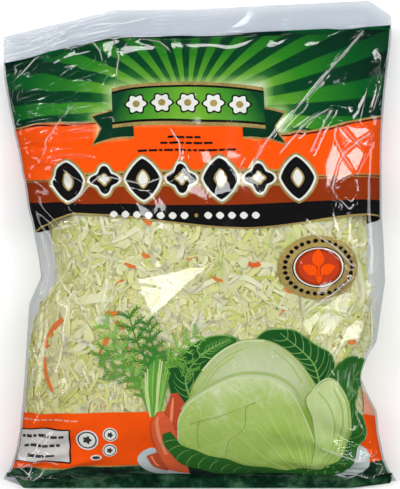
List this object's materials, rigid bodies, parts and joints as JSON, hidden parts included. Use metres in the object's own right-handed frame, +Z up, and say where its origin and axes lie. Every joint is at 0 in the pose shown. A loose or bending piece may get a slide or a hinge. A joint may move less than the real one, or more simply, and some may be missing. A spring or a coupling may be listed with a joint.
{
  "type": "bag of coleslaw mix",
  "caption": "Sealed pillow bag of clear printed film, full of shredded green cabbage and carrot, lying on its back with a flat header seal at the top.",
  "frame": {"origin": "on the surface the bag lies on, under the middle of its outline seen from above", "axes": "+Z up through the printed front; +Y along the bag from its bottom seal to its clear top header; +X across it, to the right of somebody reading the front"},
  "size_m": [0.2118, 0.2592, 0.0546],
  "materials": {
    "filled_bag": "clear glossy film over pale green shredded cabbage"
  },
  "bodies": {
    "root": {"coleslaw_bag": "filled_bag"}
  },
  "joints": []
}
